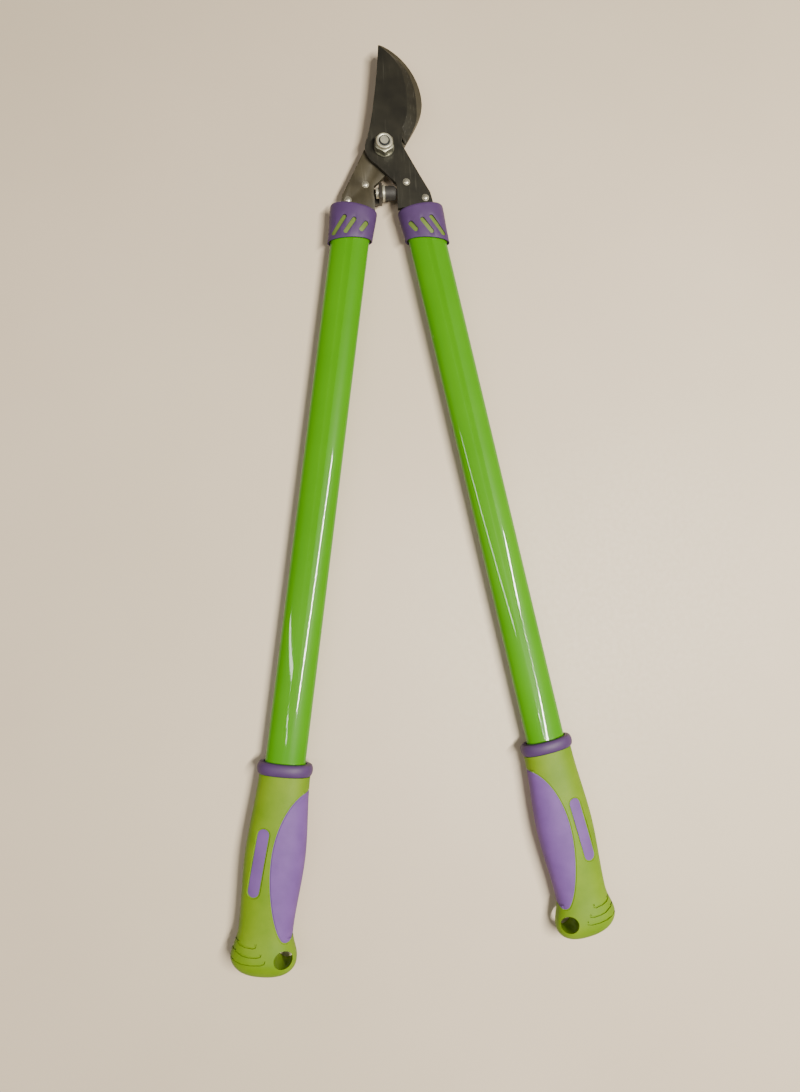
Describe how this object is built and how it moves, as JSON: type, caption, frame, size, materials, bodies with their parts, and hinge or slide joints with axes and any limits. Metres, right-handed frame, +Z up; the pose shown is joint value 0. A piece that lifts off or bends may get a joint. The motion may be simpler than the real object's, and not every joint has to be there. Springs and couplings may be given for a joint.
{
  "type": "bypass loppers",
  "caption": "Long-handled bypass loppers: a curved blade passing a hook on one pivot, oval tube handles, two-tone collars and grips.",
  "frame": {"origin": "under the middle of the whole tool, on the surface it lies on", "axes": "+Z up, parallel to the pivot; +Y along the closed tool from the grips to the jaw tips; +X towards the handle that carries the cutting blade"},
  "size_m": [0.2914, 0.7164, 0.0323],
  "materials": {
    "jaw_steel": "satin",
    "strap_steel": "satin",
    "plated_steel": "satin",
    "nylon": "matte",
    "black_rubber": "matte",
    "tube_paint": "gloss",
    "green_plastic": "matte",
    "purple_plastic": "matte",
    "purple_soft": "matte"
  },
  "bodies": {
    "hook_side": {"hook_jaw": "jaw_steel", "pivot_bolt": "plated_steel", "head_washer": "plated_steel", "nut_washer": "plated_steel", "pivot_locknut": "plated_steel", "locknut_insert": "nylon", "left_tang_strap": "strap_steel", "left_tang_rivets": "plated_steel", "buffer_cup": "plated_steel", "buffer_rubber": "black_rubber", "buffer_screw": "plated_steel", "left_tube": "tube_paint", "left_tube_rivet": "plated_steel", "left_collar_core": "green_plastic", "left_collar_sleeve": "purple_plastic", "left_grip_ring": "purple_plastic", "left_grip_body": "green_plastic", "left_palm_inlay": "purple_soft", "left_bar_inlays": "purple_soft"},
    "blade_side": {"cutting_blade": "jaw_steel", "right_tang_strap": "strap_steel", "right_tang_rivets": "plated_steel", "right_tube": "tube_paint", "right_tube_rivet": "plated_steel", "right_collar_core": "green_plastic", "right_collar_sleeve": "purple_plastic", "right_grip_ring": "purple_plastic", "right_grip_body": "green_plastic", "right_palm_inlay": "purple_soft", "right_bar_inlays": "purple_soft"}
  },
  "joints": [
    {"name": "pivot", "type": "hinge", "parent": "hook_side", "child": "blade_side", "pos_m": [0, 0.26969, 0.0165], "axis": [0, 0, 1], "range_deg": [0, 70]}
  ]
}
